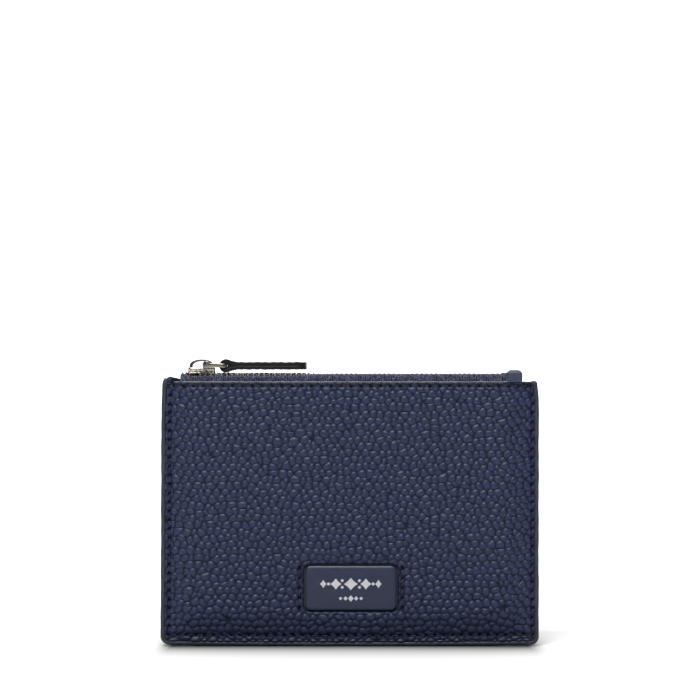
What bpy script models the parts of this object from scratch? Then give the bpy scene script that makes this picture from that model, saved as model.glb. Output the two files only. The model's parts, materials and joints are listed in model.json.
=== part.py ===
"""Zipped leather card holder, modelled as its separate pieces.

Metres, +Z up. The holder stands on its bottom edge: the origin is at the middle of that
edge, the front faces -Y and the zip runs along X at the top. Layers are stacked outwards
from the middle plane y = 0: clear pocket, lining, zip tape, leather, then the card slots
on the back.
"""
import math

import bmesh
import bpy

MM = 0.001

# Overall outline (mm)
WIDTH = 135.0
BODY_TOP = 95.1
CORNER_RADIUS = 2.5
EDGE_SIDE = 0.7
EDGE_BOTTOM = 1.4
LAYER_GAP = 0.2

# Half thickness of each layer (mm): (inner, outer) at the seam and in the flat middle
LINING = ((0.15, 0.40), (2.15, 2.45))
MIDDLE = ((0.60, 0.95), (2.65, 3.05))
LEATHER = ((1.15, 2.15), (3.25, 4.30))
SIDE_RAMP = (56.0, 64.0)
BOTTOM_RAMP = (3.5, 10.5)
RAMP_STEPS = 4

# Emblem patch and the window it sits in (mm)
EMBLEM_X = 0.3
EMBLEM_Z = 21.0
EMBLEM_HALF = (16.3, 8.0)
EMBLEM_RADIUS = 1.8
WINDOW_HALF = (16.8, 8.5)
BACKING_HALF = (19.5, 10.2)

# Zip (mm)
TAPE_START = -61.0
TAPE_SPLIT = 42.8
TAPE_STOP = 61.0
HEM_BOTTOM = 86.0
WEB_BOTTOM = 95.3
WEB_Z = (97.3, 97.7)
WEB_INNER = 1.75
TEETH_Z = (96.9, 98.1)
TEETH_START = -54.4
TEETH_STOP = 53.0
TOOTH_PITCH = 1.92
TOOTH_WIDTH = 0.80
TOOTH_REACH = 0.40
BEAD = (1.15, 1.55)
TAB_X = (56.7, 61.9)
TAB_TOP = 99.1
TAB_HALF = 3.95
TAB_WALL = 0.70

# Slider, bridge, link and pull (mm)
SLIDER_X = (-58.3, -48.5)
SLIDER_HALF = 3.3
SLIDER_PLATE = (99.4, 100.3)
SLIDER_RIM = 97.95
SLIDER_LOWER = (95.4, 96.0)
SLIDER_LOWER_HALF = 2.3
SLIDER_LOWER_RIM = 97.1
SLIDER_WALL = 0.55
WEDGE_X = (-58.0, -55.2)
WEDGE_HALF = 0.8
BRIDGE_X = (-57.7, -49.1)
BRIDGE_FOOT = 100.55
BRIDGE_APEX = 103.2
BRIDGE_HALF = 1.0
BRIDGE_THICKNESS = 0.65
LINK_PIVOT = (-52.6, 101.25)
PULL_PIVOT = (-44.6, 100.8)
LINK_BAR_RADIUS = 0.6
PULL_BAR_RADIUS = 0.5
CHEEK_Y = (3.55, 4.2)
LOOP_RADIUS = 2.45
LOOP_HOLE = 0.9
STRAP_Z = (99.45, 102.15)
STRAP_END = -15.5
STRAP_HALF = 3.3

# Card slots on the back (mm)
SLOT_HALF = 49.0
SLOT_THICKNESS = 0.7
SLOT_RADIUS = 1.5
SLOT_TOP_Z = (32.0, 78.0)
SLOT_MIDDLE_Z = (20.0, 66.0)
SLOT_LOWER_TOP = 54.0

# Colours (sRGB), roughness, metallic
NAVY_LEATHER = ((49, 55, 75), 0.55, 0.0)
NAVY_SMOOTH = ((46, 56, 80), 0.45, 0.0)
NAVY_TAPE = ((63, 65, 88), 0.85, 0.0)
RED_FABRIC = ((130, 22, 32), 0.80, 0.0)
EDGE_PAINT = ((48, 46, 52), 0.50, 0.0)
STRAP_LEATHER = ((49, 45, 51), 0.50, 0.0)
BACKING_BOARD = ((40, 40, 46), 0.90, 0.0)
NICKEL = ((196, 197, 200), 0.22, 1.0)


def clear_scene():
    for obj in list(bpy.data.objects):
        bpy.data.objects.remove(obj, do_unlink=True)


def make_material(name, finish):
    """A Principled material in the given sRGB colour, roughness and metallic value."""
    rgb, roughness, metallic = finish
    material = bpy.data.materials.new(name)
    material.use_nodes = True
    shader = material.node_tree.nodes["Principled BSDF"]
    linear = [(c / 255.0 / 12.92) if c < 11 else ((c / 255.0 + 0.055) / 1.055) ** 2.4 for c in rgb]
    shader.inputs["Base Color"].default_value = (*linear, 1.0)
    shader.inputs["Roughness"].default_value = roughness
    shader.inputs["Metallic"].default_value = metallic
    return material


def add_object(name, bm, finish, origin=(0.0, 0.0, 0.0), smooth=False):
    """Turn a bmesh in millimetres into an object in metres whose origin is at origin."""
    bmesh.ops.recalc_face_normals(bm, faces=bm.faces)
    for vert in bm.verts:
        vert.co = [(vert.co[i] - origin[i]) * MM for i in range(3)]
    mesh = bpy.data.meshes.new(name)
    bm.to_mesh(mesh)
    bm.free()
    mesh.materials.append(make_material(name + "_finish", finish))
    if smooth:
        mesh.shade_smooth()
        mesh.set_sharp_from_angle(angle=math.radians(35))
    obj = bpy.data.objects.new(name, mesh)
    obj.location = [c * MM for c in origin]
    bpy.context.scene.collection.objects.link(obj)
    return obj


def ramp(value, start, stop):
    return max(0.0, min(1.0, (value - start) / (stop - start)))


def fullness(x, z):
    """0 at the side and bottom seams, 1 in the flat middle of the holder."""
    side = ramp(SIDE_RAMP[1] - abs(x), 0.0, SIDE_RAMP[1] - SIDE_RAMP[0])
    return side * ramp(z, *BOTTOM_RAMP)


def layer_depth(layer, x, z):
    """Distance of a layer's inner and outer face from the middle plane at (x, z)."""
    t = fullness(x, z)
    seam, flat = layer
    return [seam[i] + (flat[i] - seam[i]) * t for i in range(2)]


def steps(start, stop, count):
    return [start + (stop - start) * i / count for i in range(count + 1)]


def ramp_lines(limit, extra=()):
    """X values of a panel's grid out to +-limit, with a line at each step of the ramp."""
    side = [x for x in steps(*SIDE_RAMP, RAMP_STEPS) if x < limit - 0.1] + [limit]
    return sorted([-x for x in side] + list(extra) + side)


def rise_lines(bottom, top, extra=()):
    """Z values of a panel's grid from bottom to top, with a line at each step of the ramp."""
    rise = [z for z in steps(*BOTTOM_RAMP, RAMP_STEPS) if z > bottom + 0.1]
    return [bottom] + rise + list(extra) + [top]


def layer_panel(name, layer, side, xs, zs, finish, hole=None, corner_inset=0.0):
    """A closed sheet on the grid xs by zs that follows a layer, with an optional hole.

    hole is the (column, row) of the one grid cell left out; side is -1 front, +1 back.
    """
    bm = bmesh.new()
    grid = {}
    for i, x in enumerate(xs):
        for j, z in enumerate(zs):
            inset = corner_inset if j == 0 and i in (0, len(xs) - 1) else 0.0
            px = x - math.copysign(inset, x)
            depths = layer_depth(layer, x, z)
            grid[i, j] = [bm.verts.new((px, side * depth, z + inset)) for depth in depths]
    cells = {(i, j) for i in range(len(xs) - 1) for j in range(len(zs) - 1)} - {hole}
    for i, j in cells:
        corners = [(i, j), (i + 1, j), (i + 1, j + 1), (i, j + 1)]
        neighbours = [(i, j - 1), (i + 1, j), (i, j + 1), (i - 1, j)]
        for face in (0, 1):
            a, b, c, d = [grid[corner][face] for corner in corners]
            bm.faces.new((a, b, c))
            bm.faces.new((a, c, d))
        for k, neighbour in enumerate(neighbours):
            if neighbour in cells:
                continue
            start, stop = grid[corners[k]], grid[corners[(k + 1) % 4]]
            bm.faces.new((start[0], stop[0], stop[1], start[1]))
    loose = [vert for vert in bm.verts if not vert.link_faces]
    bmesh.ops.delete(bm, geom=loose, context="VERTS")
    return add_object(name, bm, finish)


def arc(cx, cy, radius, start, stop, count):
    """Points on an arc, angles in degrees."""
    angles = [math.radians(a) for a in steps(start, stop, count)]
    return [(cx + radius * math.cos(a), cy + radius * math.sin(a)) for a in angles]


def rounded_rectangle(x0, x1, z0, z1, radius, count=3):
    points = arc(x1 - radius, z1 - radius, radius, 0, 90, count)
    points += arc(x0 + radius, z1 - radius, radius, 90, 180, count)
    points += arc(x0 + radius, z0 + radius, radius, 180, 270, count)
    points += arc(x1 - radius, z0 + radius, radius, 270, 360, count)
    return points


def add_prism(bm, outline, axis, low, high):
    """Extrude a 2-D outline along one axis (0 X, 1 Y, 2 Z) between low and high."""
    def place(point, depth):
        values = list(point)
        values.insert(axis, depth)
        return values
    base = [bm.verts.new(place(point, low)) for point in outline]
    top = [bm.verts.new(place(point, high)) for point in outline]
    bm.faces.new(base)
    bm.faces.new(list(reversed(top)))
    for i in range(len(outline)):
        j = (i + 1) % len(outline)
        bm.faces.new((base[i], base[j], top[j], top[i]))


def prism(name, outline, axis, low, high, finish, origin=(0.0, 0.0, 0.0), smooth=False):
    bm = bmesh.new()
    add_prism(bm, outline, axis, low, high)
    return add_object(name, bm, finish, origin, smooth)


def box_outline(x0, x1, z0, z1):
    return [(x0, z0), (x1, z0), (x1, z1), (x0, z1)]


def hide_tool(obj):
    obj.hide_render = True
    obj.display_type = "WIRE"


def join_to(target, tool, operation):
    """Boolean a tool object into target and leave the tool hidden."""
    modifier = target.modifiers.new(tool.name, "BOOLEAN")
    modifier.operation = operation
    modifier.solver = "EXACT"
    modifier.object = tool
    hide_tool(tool)


# ---------------------------------------------------------------- pouch

def make_leathers():
    limit = WIDTH / 2 - EDGE_SIDE - LAYER_GAP
    bottom = EDGE_BOTTOM + LAYER_GAP + 0.1
    window_x = (EMBLEM_X - WINDOW_HALF[0], EMBLEM_X + WINDOW_HALF[0])
    window_z = (EMBLEM_Z - WINDOW_HALF[1], EMBLEM_Z + WINDOW_HALF[1])
    xs = ramp_lines(limit, window_x)
    zs = rise_lines(bottom, BODY_TOP, window_z)
    hole = (xs.index(window_x[0]), zs.index(window_z[0]))
    layer_panel("front_leather", LEATHER, -1, xs, zs, NAVY_LEATHER, hole, 0.4)
    xs = ramp_lines(limit)
    zs = rise_lines(bottom, BODY_TOP)
    layer_panel("back_leather", LEATHER, 1, xs, zs, NAVY_LEATHER, None, 0.4)


def make_linings():
    xs = ramp_lines(65.8)
    zs = rise_lines(2.4, 94.6)
    layer_panel("front_lining", LINING, -1, xs, zs, RED_FABRIC, None, 0.4)
    layer_panel("back_lining", LINING, 1, xs, zs, RED_FABRIC, None, 0.4)


def make_edge_coat():
    """The painted edge: one U-shaped strip round the sides and the bottom."""
    half = WIDTH / 2
    inner = half - EDGE_SIDE
    centre = half - CORNER_RADIUS
    inner_radius = inner - centre
    rise = EDGE_BOTTOM + inner_radius
    outline = [(-half, BODY_TOP)]
    outline += arc(-centre, CORNER_RADIUS, CORNER_RADIUS, 180, 270, 5)
    outline += arc(centre, CORNER_RADIUS, CORNER_RADIUS, 270, 360, 5)
    outline += [(half, BODY_TOP), (inner, BODY_TOP)]
    outline += arc(centre, rise, inner_radius, 360, 270, 3)
    outline += arc(-centre, rise, inner_radius, 270, 180, 3)
    outline += [(-inner, BODY_TOP)]
    depth = LEATHER[0][1]
    prism("edge_coat", outline, 1, -depth, depth, EDGE_PAINT)


def make_emblem():
    x0, x1 = EMBLEM_X - EMBLEM_HALF[0], EMBLEM_X + EMBLEM_HALF[0]
    z0, z1 = EMBLEM_Z - EMBLEM_HALF[1], EMBLEM_Z + EMBLEM_HALF[1]
    outline = rounded_rectangle(x0, x1, z0, z1, EMBLEM_RADIUS)
    inner, outer = LEATHER[1]
    prism("emblem_patch", outline, 1, -outer - 0.1, -inner, NAVY_SMOOTH)
    inner, outer = MIDDLE[1]
    x0, x1 = EMBLEM_X - BACKING_HALF[0], EMBLEM_X + BACKING_HALF[0]
    z0, z1 = EMBLEM_Z - BACKING_HALF[1], EMBLEM_Z + BACKING_HALF[1]
    prism("emblem_backing", box_outline(x0, x1, z0, z1), 1, -outer, -inner, BACKING_BOARD)


# ---------------------------------------------------------------- zip

def make_tape_hems():
    """The part of each zip tape that is sewn in between the leather and the lining."""
    xs = ramp_lines(TAPE_STOP)
    zs = [HEM_BOTTOM, BODY_TOP]
    layer_panel("front_tape_hem", MIDDLE, -1, xs, zs, NAVY_TAPE)
    layer_panel("back_tape_hem", MIDDLE, 1, xs, zs, NAVY_TAPE)


def make_tape(name, side, start, stop):
    """An L-shaped run of tape: up from the seam, then in to the teeth."""
    inner, outer = MIDDLE[1]
    profile = [(inner, WEB_BOTTOM), (outer, WEB_BOTTOM), (outer, WEB_Z[1])]
    profile += [(WEB_INNER, WEB_Z[1]), (WEB_INNER, WEB_Z[0]), (inner, WEB_Z[0])]
    outline = [(side * y, z) for y, z in profile]
    prism(name, outline, 0, start, stop, NAVY_TAPE)


def make_teeth(name, side, start, stop):
    """One side's teeth from start to stop, joined by the bead they are cast on.

    Teeth sit on one pitch over the whole zip; the back ones are half a pitch along.
    """
    shift = 0.5 * TOOTH_PITCH if side > 0 else 0.0
    bead_in, bead_out = BEAD
    outline = [(start, bead_out), (start, bead_in)]
    count = int((TEETH_STOP - TEETH_START) / TOOTH_PITCH)
    for i in range(count + 1):
        left = TEETH_START + 0.1 + shift + i * TOOTH_PITCH
        right = left + TOOTH_WIDTH
        if left < start + 0.05 or right > stop - 0.05:
            continue
        outline += [(left, bead_in), (left, -TOOTH_REACH)]
        outline += [(right, -TOOTH_REACH), (right, bead_in)]
    outline += [(stop, bead_in), (stop, bead_out)]
    prism(name, [(x, side * y) for x, y in outline], 2, *TEETH_Z, NICKEL)


def make_stops():
    low, high = TEETH_Z
    outline = rounded_rectangle(-60.2, -58.9, 0.35, 1.55, 0.3, 2)
    prism("back_top_stop", outline, 2, low - 0.2, high + 0.2, NICKEL)
    outline = [(x, -y) for x, y in outline]
    prism("front_top_stop", outline, 2, low - 0.2, high + 0.2, NICKEL)
    start = TEETH_STOP + 0.4
    outline = rounded_rectangle(start, start + 2.2, -1.5, 1.5, 0.4, 2)
    prism("bottom_stop", outline, 2, low - 0.2, high + 0.1, NICKEL)


def make_end_tab():
    """The leather tab folded over the end of the zip, open below."""
    outer, inner = TAB_HALF, TAB_HALF - TAB_WALL
    roof = TAB_TOP - TAB_WALL
    radius = 0.9
    outline = [(-outer, WEB_BOTTOM), (-inner, WEB_BOTTOM), (-inner, roof)]
    outline += [(inner, roof), (inner, WEB_BOTTOM), (outer, WEB_BOTTOM)]
    outline += arc(outer - radius, TAB_TOP - radius, radius, 0, 90, 3)
    outline += arc(-outer + radius, TAB_TOP - radius, radius, 90, 180, 3)
    prism("zip_end_tab", outline, 0, *TAB_X, NAVY_SMOOTH)


# ---------------------------------------------------------------- slider and pull

def slider_channel(name, half, plate, rim):
    """A channel along X: a plate across the zip with a wall down or up at each side."""
    wall = half - SLIDER_WALL
    face, back = (plate[0], plate[1]) if rim < plate[0] else (plate[1], plate[0])
    outline = [(-half, back), (-half, rim), (-wall, rim), (-wall, face)]
    outline += [(wall, face), (wall, rim), (half, rim), (half, back)]
    return prism(name, outline, 0, *SLIDER_X, NICKEL)


def make_slider():
    body = slider_channel("slider_body", SLIDER_HALF, SLIDER_PLATE, SLIDER_RIM)
    lower = slider_channel("tool_slider_lower", SLIDER_LOWER_HALF, SLIDER_LOWER, SLIDER_LOWER_RIM)
    low, high = SLIDER_LOWER[0] + 0.2, SLIDER_PLATE[1] - 0.2
    outline = [(WEDGE_X[0], -WEDGE_HALF), (WEDGE_X[1], 0.0), (WEDGE_X[0], WEDGE_HALF)]
    wedge = prism("tool_slider_wedge", outline, 2, low, high, NICKEL)
    join_to(body, wedge, "UNION")
    join_to(body, lower, "UNION")


def make_bridge():
    """The arch on the slider that the link's bar passes under."""
    x0, x1 = BRIDGE_X
    centre = (x0 + x1) / 2
    half = (x1 - x0) / 2
    rise = BRIDGE_APEX - BRIDGE_FOOT
    outer = [(centre + half * math.cos(a), BRIDGE_FOOT + rise * math.sin(a) ** 0.8)
             for a in steps(0.0, math.pi, 12)]
    half_in = half - 1.3
    rise_in = rise - BRIDGE_THICKNESS
    inner = [(centre + half_in * math.cos(a), BRIDGE_FOOT + rise_in * math.sin(a) ** 0.8)
             for a in steps(math.pi, 0.0, 12)]
    prism("slider_bridge", outer + inner, 1, -BRIDGE_HALF, BRIDGE_HALF, NICKEL, smooth=True)


def make_link():
    """Two cheeks outside the slider, joined by a bar under the bridge and one in the pull."""
    px, pz = LINK_PIVOT
    qx, qz = PULL_PIVOT
    cheek = arc(px + 0.6, pz - 0.05, 1.4, 60, 300, 8)
    cheek += arc(qx, qz, 0.75, -80, 80, 5)
    origin = (px, 0.0, pz)
    y0, y1 = CHEEK_Y
    link = prism("pull_link", cheek, 1, y0, y1, NICKEL, origin, True)
    other = prism("tool_link_cheek", cheek, 1, -y1, -y0, NICKEL, origin)
    join_to(link, other, "UNION")
    reach = (y0 + y1) / 2
    bars = ((px, pz, LINK_BAR_RADIUS, "left"), (qx, qz, PULL_BAR_RADIUS, "right"))
    for x, z, radius, side in bars:
        outline = arc(x, z, radius, 0, 330, 11)
        bar = prism("tool_link_bar_" + side, outline, 1, -reach, reach, NICKEL, origin)
        join_to(link, bar, "UNION")


def make_strap():
    """The leather pull: two layers with a loop round the link's bar and a rounded end."""
    qx, qz = PULL_PIVOT
    low, high = STRAP_Z
    thickness = high - low
    middle = (low + high) / 2
    lower_angle = math.degrees(math.asin((qz - low) / LOOP_RADIUS))
    upper_angle = math.degrees(math.asin((high - qz) / LOOP_RADIUS))
    outline = arc(qx, qz, LOOP_RADIUS, upper_angle, 360 - lower_angle, 18)
    outline += arc(STRAP_END - thickness / 2, middle, thickness / 2, -90, 90, 6)
    origin = (qx, 0.0, qz)
    half = STRAP_HALF
    strap = prism("pull_strap", outline, 1, -half, half, STRAP_LEATHER, origin, True)
    hole = prism("tool_strap_hole", arc(qx, qz, LOOP_HOLE, 0, 330, 11), 1,
                 -half - 1.0, half + 1.0, STRAP_LEATHER, origin)
    join_to(strap, hole, "DIFFERENCE")


# ---------------------------------------------------------------- card slots

def make_card_slots():
    """Three leather panels stacked on the back, each one lower than the one under it."""
    base = LEATHER[1][1] + LAYER_GAP
    lift = SLOT_THICKNESS + LAYER_GAP
    for name, level, (z0, z1) in (("card_slot_top", 0, SLOT_TOP_Z),
                                  ("card_slot_middle", 1, SLOT_MIDDLE_Z)):
        outline = rounded_rectangle(-SLOT_HALF, SLOT_HALF, z0, z1, SLOT_RADIUS)
        near = base + level * lift
        prism(name, outline, 1, near, near + SLOT_THICKNESS, NAVY_LEATHER)
    far = base + 2 * lift
    seam = LEATHER[0][1] + LAYER_GAP
    bottom = SLOT_MIDDLE_Z[0]
    inner = [(seam, 1.8), (seam, BOTTOM_RAMP[0]), (base, BOTTOM_RAMP[1])]
    inner += [(base, bottom - 6.0), (far, bottom - 0.5), (far, SLOT_LOWER_TOP)]
    outline = inner + [(y + SLOT_THICKNESS, z) for y, z in reversed(inner)]
    prism("card_slot_lower", outline, 0, -SLOT_HALF, SLOT_HALF, NAVY_LEATHER)


def main():
    clear_scene()
    make_leathers()
    make_linings()
    make_edge_coat()
    make_emblem()
    make_tape_hems()
    for label, side in (("front", -1), ("back", 1)):
        make_tape(label + "_tape", side, TAPE_START, TAPE_SPLIT)
        make_tape(label + "_tape_end", side, TAPE_SPLIT + LAYER_GAP, TAPE_STOP)
        make_teeth(label + "_teeth", side, TEETH_START, TAPE_SPLIT)
        make_teeth(label + "_teeth_end", side, TAPE_SPLIT + LAYER_GAP, TEETH_STOP)
    make_stops()
    make_end_tab()
    make_slider()
    make_bridge()
    make_link()
    make_strap()
    make_card_slots()


main()
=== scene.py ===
import json
import math

import bpy
import numpy as np
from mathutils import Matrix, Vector


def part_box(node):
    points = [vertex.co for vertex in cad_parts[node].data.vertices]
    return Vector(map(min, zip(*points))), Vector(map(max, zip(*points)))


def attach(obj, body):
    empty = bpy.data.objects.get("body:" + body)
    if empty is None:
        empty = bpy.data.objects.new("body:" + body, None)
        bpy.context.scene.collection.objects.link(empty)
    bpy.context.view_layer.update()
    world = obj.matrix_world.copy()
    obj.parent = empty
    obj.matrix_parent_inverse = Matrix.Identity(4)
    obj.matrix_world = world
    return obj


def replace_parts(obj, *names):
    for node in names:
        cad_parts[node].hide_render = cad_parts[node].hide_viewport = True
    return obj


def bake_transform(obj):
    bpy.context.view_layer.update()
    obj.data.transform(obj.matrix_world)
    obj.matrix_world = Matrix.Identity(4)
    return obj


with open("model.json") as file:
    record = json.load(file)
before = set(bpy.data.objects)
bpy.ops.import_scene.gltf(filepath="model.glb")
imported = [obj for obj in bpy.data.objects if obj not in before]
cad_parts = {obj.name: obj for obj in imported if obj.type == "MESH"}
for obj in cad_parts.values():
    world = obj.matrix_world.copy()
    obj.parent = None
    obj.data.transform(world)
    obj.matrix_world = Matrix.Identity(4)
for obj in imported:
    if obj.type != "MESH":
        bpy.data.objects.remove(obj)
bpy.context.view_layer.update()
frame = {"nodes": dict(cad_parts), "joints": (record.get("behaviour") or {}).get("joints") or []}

# The looks of a zipped leather card holder. Lengths are millimetres here and metres in the meshes.
# x runs along the zip, y back from the front (-Y) to the back (+Y), z up from the bottom edge.
# A depth is a distance from the middle plane y = 0, towards whichever side a piece is on.
MM = 0.001
FRONT, BACK = -1, 1


def cad_box(node):
    """Lowest and highest corner of a CAD node, in millimetres."""
    low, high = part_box(node)
    return [c / MM for c in low], [c / MM for c in high]


LEATHER_LOW, LEATHER_HIGH = cad_box("front_leather")
EDGE_HIGH = cad_box("edge_coat")[1]
PATCH_LOW, PATCH_HIGH = cad_box("emblem_patch")
TAPE_LOW, TAPE_HIGH = cad_box("front_tape")
TAB_LOW, TAB_HIGH = cad_box("zip_end_tab")
SLIDER_LOW, SLIDER_HIGH = cad_box("slider_body")
BRIDGE_LOW, BRIDGE_HIGH = cad_box("slider_bridge")
STRAP_LOW, STRAP_HIGH = cad_box("pull_strap")
HALF_WIDTH, SEAM_DEPTH, BODY_TOP = EDGE_HIGH
FLAT_DEPTH = -LEATHER_LOW[1]
LEATHER_THICK = 1.05
HINGES = {joint["name"]: joint for joint in frame["joints"]}
LINK_PIVOT = [c / MM for c in HINGES["link_swing"]["pos_m"]]
PULL_PIVOT = [c / MM for c in HINGES["pull_swing"]["pos_m"]]

# Leather grain and its grid
PEBBLE_SIZE = 2.8
PEBBLE_RELIEF = 0.80
GRID_STEP = 0.37
SLOT_STEP = 0.46
FRONT_SEED, BACK_SEED, SLOT_SEED = 11, 23, 31

# Seams: rows of stitches, the groove along them and the needle holes
STITCH_PITCH = 3.2
TOP_PITCH = 3.5
THREAD_RADIUS = 0.24
GROOVE_DEPTH, GROOVE_WIDTH = 0.22, 0.75
HOLE_DEPTH, HOLE_WIDTH = 0.90, 0.52
SIDE_ROW = (-64.5, 65.2)
BOTTOM_ROW = 3.7
TOP_ROW = 93.5

# Emblem patch and the window round it
PATCH_ROW = 18.3
PATCH_ROW_HALF = 7.0
WINDOW_GAP = 0.55
PATCH_RADIUS = 1.8
PATCH_CENTRE = ((PATCH_LOW[0] + PATCH_HIGH[0]) / 2, (PATCH_LOW[2] + PATCH_HIGH[2]) / 2)
PATCH_HALF = ((PATCH_HIGH[0] - PATCH_LOW[0]) / 2, (PATCH_HIGH[2] - PATCH_LOW[2]) / 2)

# Zip
TAPE_OUT = cad_box("back_tape")[1][1] - 0.2
TAPE_TOP = TAPE_HIGH[2] + 0.12
TAPE_BEAD = 1.35
TAPE_HALF_THICK = 0.22
TAPE_RIB = 1.7
TEETH_MIDDLE = 97.62
TOOTH_PITCH = 1.92
SPLIT = -7.0


# Meshes

def smoothstep(value, low, high):
    t = np.clip((value - low) / (high - low), 0.0, 1.0)
    return t * t * (3.0 - 2.0 * t)


def add_mesh(name, points, faces, material, body="pouch", slot=None, replaces=(), smooth=True, crease=None):
    """An object in metres from points in millimetres, riding on a CAD body."""
    mesh = bpy.data.meshes.new(name)
    mesh.from_pydata((np.asarray(points, float) * MM).tolist(), [], faces)
    mesh.validate()
    mesh.materials.append(material)
    if smooth:
        mesh.shade_smooth()
    if crease:
        mesh.set_sharp_from_angle(angle=math.radians(crease))
    obj = bpy.data.objects.new(name, mesh)
    bpy.context.scene.collection.objects.link(obj)
    if body:
        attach(obj, body)
    if replaces:
        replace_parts(obj, *replaces)
    return obj


class Shell:
    """Collects points and faces of one piece that is made from several closed parts."""

    def __init__(self):
        self.points = []
        self.faces = []

    def add(self, points, faces):
        start = len(self.points)
        self.points.extend(np.asarray(points, float).tolist())
        self.faces.extend([tuple(start + i for i in face) for face in faces])

    def mesh(self, name, material, *places, **settings):
        return add_mesh(name, self.points, self.faces, material, *places, **settings)


def ring_faces(rings, size, closed=False, flip=False):
    """Quads between rings of size points each, with caps unless the run is closed."""
    faces = []
    last = rings if closed else rings - 1
    for i in range(last):
        a, b = i * size, ((i + 1) % rings) * size
        for j in range(size):
            k = (j + 1) % size
            faces.append((a + j, a + k, b + k, b + j))
    if not closed:
        faces.append(tuple(reversed(range(size))))
        faces.append(tuple((rings - 1) * size + j for j in range(size)))
    return [face[::-1] for face in faces] if flip else faces


def loft(rings, flip=False):
    """Points and faces of a closed form through rings of points."""
    return np.concatenate(rings), ring_faces(len(rings), len(rings[0]), flip=flip)


def rounded_section(half_u, half_v, radius, count=3):
    """Points round a rounded rectangle, anticlockwise, as (u, v) pairs."""
    radius = min(radius, 0.96 * half_u, 0.96 * half_v)
    points = []
    for k, (su, sv) in enumerate(((1, 1), (-1, 1), (-1, -1), (1, -1))):
        for i in range(count + 1):
            a = math.pi / 2 * (k + i / count)
            u = su * (half_u - radius) + radius * math.cos(a)
            points.append((u, sv * (half_v - radius) + radius * math.sin(a)))
    return np.array(points)


def sweep(path, sections, side_axis, closed=False):
    """Rings of section points along a path.

    path is (n, 3); sections is one (m, 2) array or one for each point; side_axis is the
    direction of a section's u, and its v is tangent x side_axis.
    """
    path = np.asarray(path, float)
    if closed:
        tangent = np.roll(path, -1, 0) - np.roll(path, 1, 0)
    else:
        tangent = np.gradient(path, axis=0)
    tangent /= np.linalg.norm(tangent, axis=1)[:, None]
    side = np.broadcast_to(np.asarray(side_axis, float), path.shape)
    side = side - tangent * (side * tangent).sum(1)[:, None]
    side /= np.linalg.norm(side, axis=1)[:, None]
    normal = np.cross(tangent, side)
    rings = []
    for i in range(len(path)):
        section = sections[i] if isinstance(sections, list) else sections
        rings.append(path[i] + section[:, :1] * side[i] + section[:, 1:] * normal[i])
    return np.concatenate(rings), ring_faces(len(path), len(rings[0]), closed)


def arc_points(cx, cz, radius, start, stop, count):
    angles = np.radians(np.linspace(start, stop, count))
    return list(zip(cx + radius * np.cos(angles), cz + radius * np.sin(angles)))


def axis_lines(low, high, step):
    return np.linspace(low, high, int(round(abs(high - low) / step)) + 1)


def grid_quads(columns, lines):
    """Quads of a grid of points with x across and z up, facing the front."""
    index = np.arange(columns * lines).reshape(columns, lines)
    return np.stack([index[:-1, :-1], index[1:, :-1], index[1:, 1:], index[:-1, 1:]], -1)


# Materials

def srgb(r, g, b):
    values = [c / 255.0 for c in (r, g, b)]
    return [v / 12.92 if v < 0.04045 else ((v + 0.055) / 1.055) ** 2.4 for v in values] + [1.0]


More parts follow.
